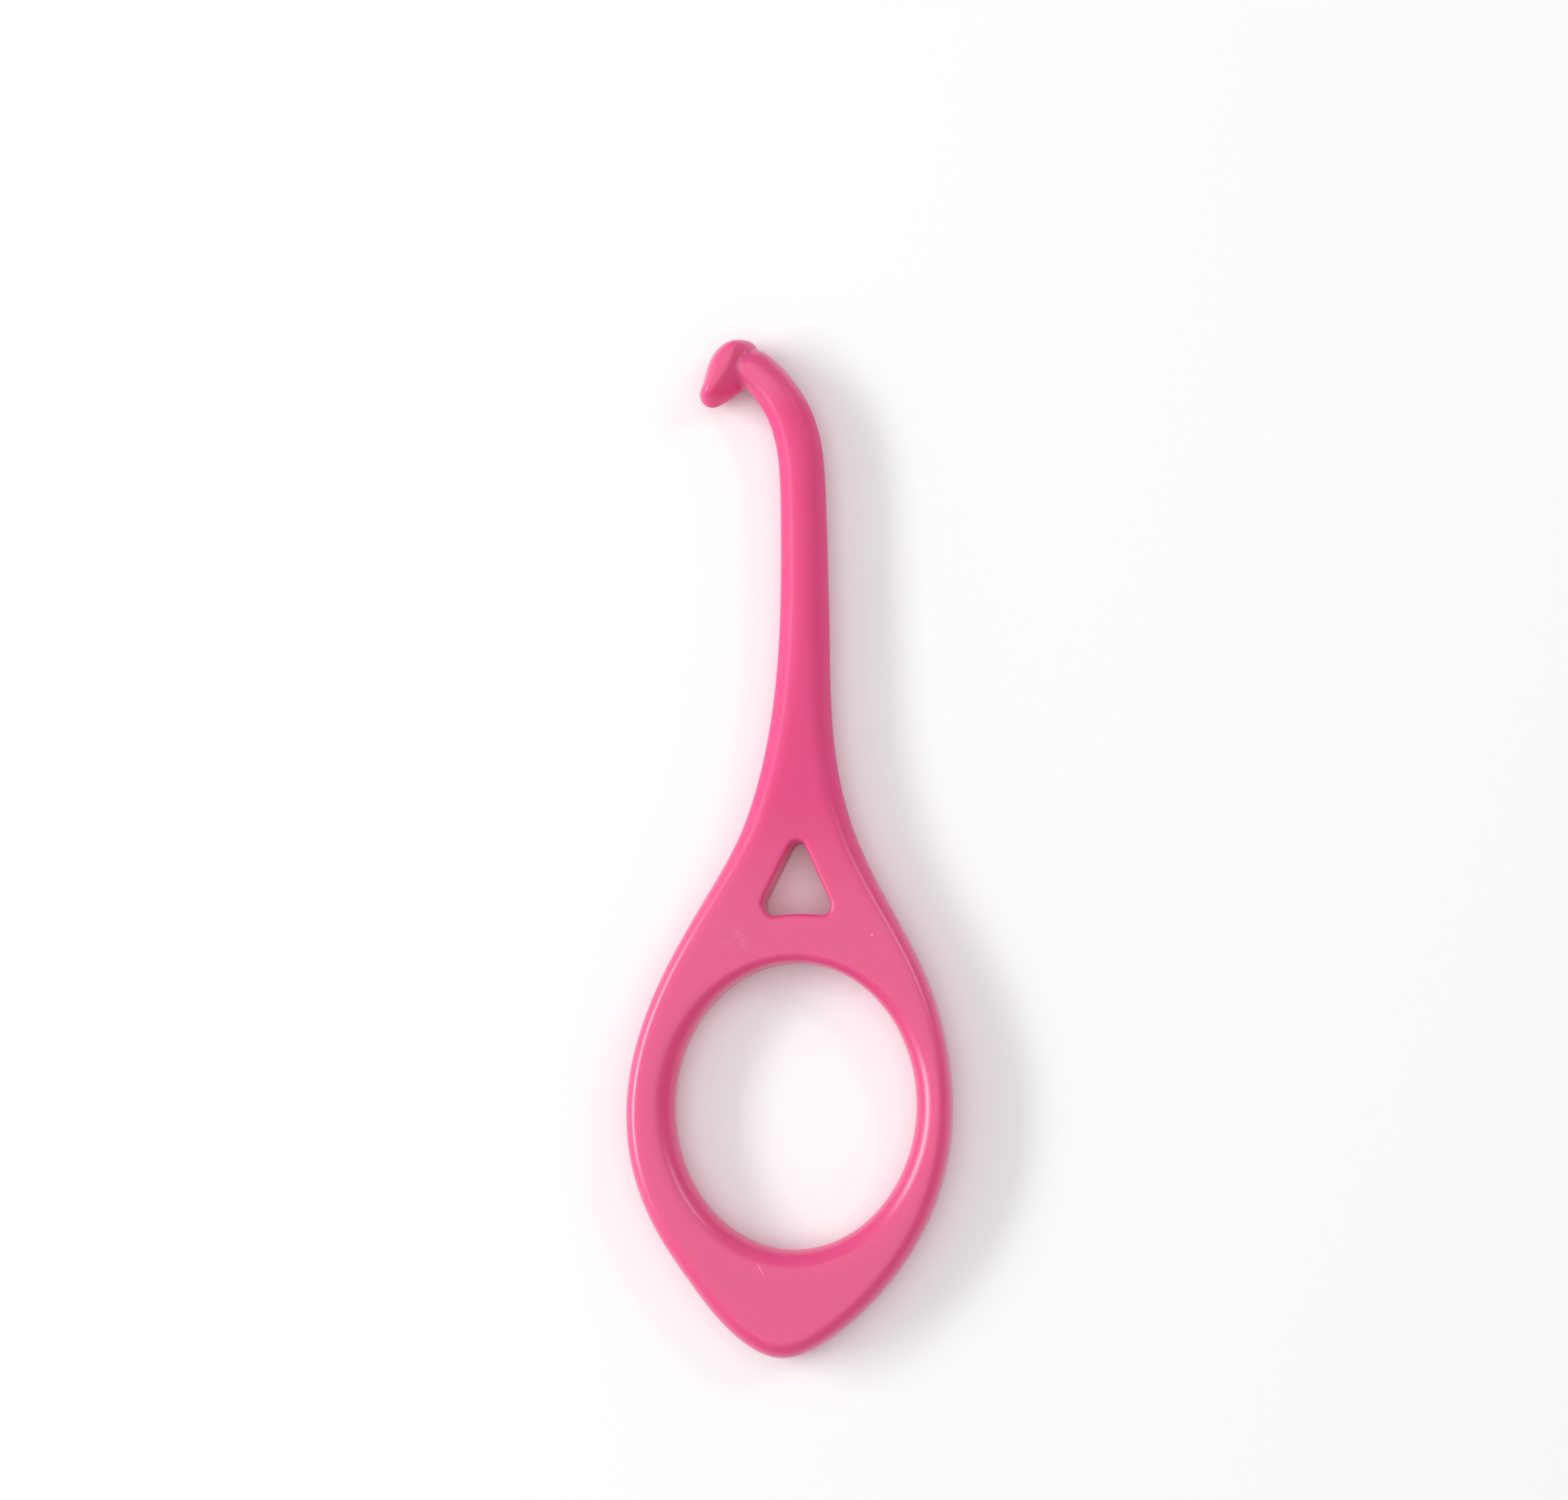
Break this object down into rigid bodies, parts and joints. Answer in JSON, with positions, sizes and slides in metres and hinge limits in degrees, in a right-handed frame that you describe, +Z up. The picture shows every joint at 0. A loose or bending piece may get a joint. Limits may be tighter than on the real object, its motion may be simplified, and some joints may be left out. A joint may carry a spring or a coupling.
{
  "type": "aligner removal tool",
  "caption": "One-piece moulded hook for lifting out clear dental aligners or retainers, with an oval finger ring, a triangular window, a slim shank and a foot-shaped hook.",
  "frame": {"origin": "centre of the footprint, on the surface that the tool lies on", "axes": "+Y from the heel of the finger ring to the hook, +Z up through the thickness, +X to the right with the hook pointing left"},
  "size_m": [0.0298, 0.093, 0.0048],
  "materials": {
    "pink_plastic": "satin"
  },
  "bodies": {
    "root": {"tool_body": "pink_plastic"}
  },
  "joints": []
}
